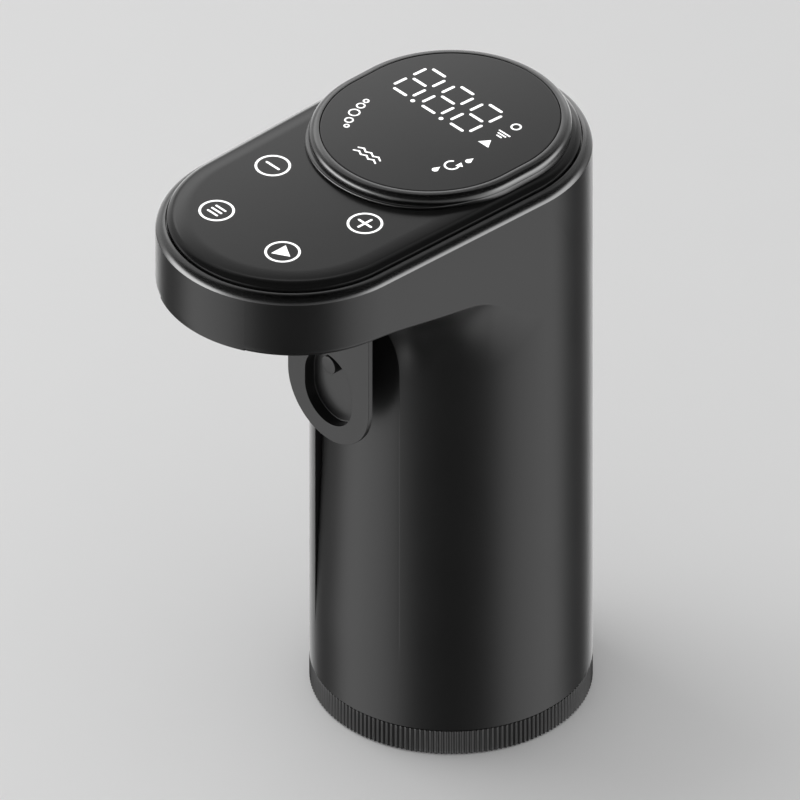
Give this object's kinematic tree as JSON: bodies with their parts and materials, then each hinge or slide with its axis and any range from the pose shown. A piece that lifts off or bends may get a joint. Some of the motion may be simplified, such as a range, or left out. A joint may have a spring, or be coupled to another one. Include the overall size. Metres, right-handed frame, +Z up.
{
  "type": "electric wine aerator",
  "caption": "Electric wine aerator in dark satin grey: a round column that stands on a bottle neck, an overhanging control head with a display, and a push lever under the head.",
  "frame": {"origin": "centre of the bottle socket's mouth, on the plane that the part stands on", "axes": "+Z up along the column, -Y forwards, where the head overhangs, +X to the right of someone who faces the lever"},
  "size_m": [0.06, 0.1046, 0.1444],
  "materials": {
    "shell_satin": "satin moulded ABS, fine texture",
    "trim_satin": "satin grey coat",
    "panel_gloss": "polished black moulding",
    "lens_dark": "smoked polished lens",
    "board_green": "solder mask",
    "steel": "turned or drawn steel",
    "rubber": "matt",
    "silicone": "translucent grey silicone",
    "pale_plastic": "moulded acetal",
    "dark_plastic": "glass-filled nylon",
    "red_plastic": "moulded acetal",
    "paper": "compressed fibre sheet",
    "copper": "enamelled copper over laminations",
    "ferrite": "sintered ferrite",
    "cell_wrap": "shrink sleeve"
  },
  "bodies": {
    "body": {"body_shell": "shell_satin", "head_trim": "trim_satin", "touch_panel": "panel_gloss", "panel_gasket": "rubber", "display_bezel": "trim_satin", "display_lens": "lens_dark", "display_module": "lens_dark", "control_board": "board_green", "touch_springs": "steel", "board_screws": "steel", "lever_pin": "steel", "lever_spring": "steel", "micro_switch": "dark_plastic", "spout_nozzle": "pale_plastic", "nozzle_ring": "silicone", "nozzle_nut": "shell_satin", "aerator_insert": "silicone", "outlet_tube": "silicone", "inlet_tube": "silicone", "suction_fitting": "pale_plastic", "pump_housing": "dark_plastic", "pump_gasket": "paper", "pump_cover": "dark_plastic", "pump_screws": "steel", "shaft_seal": "rubber", "driven_pin": "steel", "motor_magnets": "ferrite", "motor_can": "steel", "motor_cap": "dark_plastic", "battery_cell": "cell_wrap", "power_board": "board_green", "usb_socket": "steel", "power_board_screws": "steel", "chassis_frame": "dark_plastic", "bottle_adapter": "dark_plastic", "bottle_seal": "silicone", "base_plate": "dark_plastic", "base_screws": "steel", "foot_ring": "rubber"},
    "lever": {"dispense_lever": "shell_satin", "lever_bumper": "rubber"},
    "plunger": {"switch_plunger": "red_plastic"},
    "rotor": {"motor_shaft": "steel", "motor_armature": "copper", "drive_gear": "pale_plastic"},
    "driven": {"driven_gear": "pale_plastic"},
    "ring": {"base_ring": "shell_satin"}
  },
  "joints": [
    {"name": "lever_hinge", "type": "hinge", "parent": "body", "child": "lever", "pos_m": [0, -0.03472, 0.1298], "axis": [1, 0, 0], "range_deg": [0, 4], "stiffness_Nm_per_rad": 0.08, "springref_deg": -5.73, "deforming": ["lever_spring"]},
    {"name": "plunger_slide", "type": "slide", "parent": "body", "child": "plunger", "axis": [0, 0, 1], "range_m": [0, 0.0007]},
    {"name": "pump_spin", "type": "hinge", "parent": "body", "child": "rotor", "pos_m": [0.0136, 0.002, 0.08], "axis": [0, 0, 1], "continuous": true},
    {"name": "driven_spin", "type": "hinge", "parent": "body", "child": "driven", "pos_m": [0.0028, 0.002, 0.065], "axis": [0, 0, 1], "continuous": true},
    {"name": "base_ring_twist", "type": "hinge", "parent": "body", "child": "ring", "pos_m": [0, 0, 0.003], "axis": [0, 0, 1], "range_deg": [0, 30]}
  ],
  "couplings": [
    {"joint": "plunger_slide", "follows": "lever_hinge", "m_per_rad": 0.01},
    {"joint": "driven_spin", "follows": "pump_spin", "ratio": -1}
  ]
}
